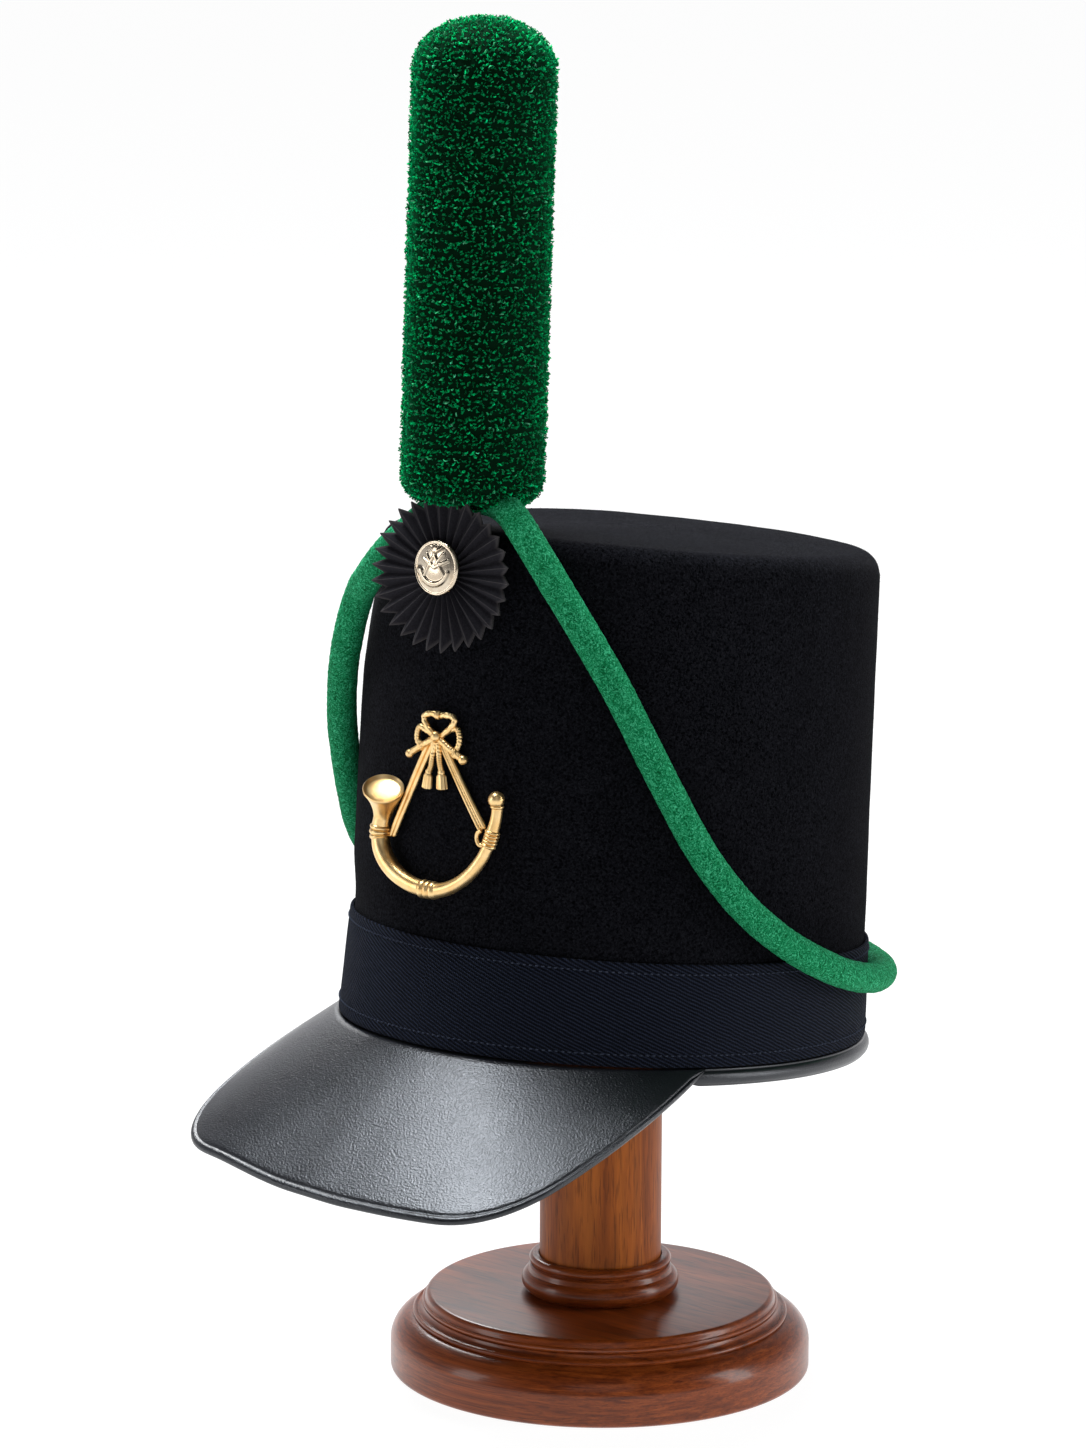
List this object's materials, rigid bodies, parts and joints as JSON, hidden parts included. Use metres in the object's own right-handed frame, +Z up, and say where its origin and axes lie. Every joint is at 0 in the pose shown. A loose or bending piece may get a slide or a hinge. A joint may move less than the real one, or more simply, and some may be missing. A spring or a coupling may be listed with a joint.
{
  "type": "shako hat on display stand",
  "caption": "Tall military felt hat with a leather peak, cloth band, plume, rosette, horn badge and cord, on a turned wooden display stand.",
  "frame": {"origin": "centre of the stand's underside", "axes": "+Z up, the hat's front and peak towards -Y, the hat's left side towards +X"},
  "size_m": [0.2006, 0.2755, 0.4982],
  "materials": {
    "mahogany": "dark reddish brown, glossy varnish",
    "chestnut": "warm brown, varnished, grain along the post",
    "felt": "black, matte, softly napped",
    "twill": "blue black ribbed twill",
    "leather": "black, smooth, satin polish",
    "ribbon": "charcoal, pressed pleats",
    "silver_gilt": "pale gilt, polished relief",
    "brass": "gold coloured, satin",
    "plume_wool": "deep green wool tufts",
    "steel": "plain",
    "cord_cloth": "bright green crepe cord"
  },
  "bodies": {
    "root": {"stand_base": "mahogany", "stand_collar": "mahogany", "stand_post": "chestnut", "stand_head": "chestnut", "crown": "felt", "band": "twill", "rim_binding": "leather", "peak": "leather", "cockade": "ribbon", "button": "silver_gilt", "badge": "brass", "plume": "plume_wool", "plume_stem": "steel", "cord": "cord_cloth"}
  },
  "joints": []
}
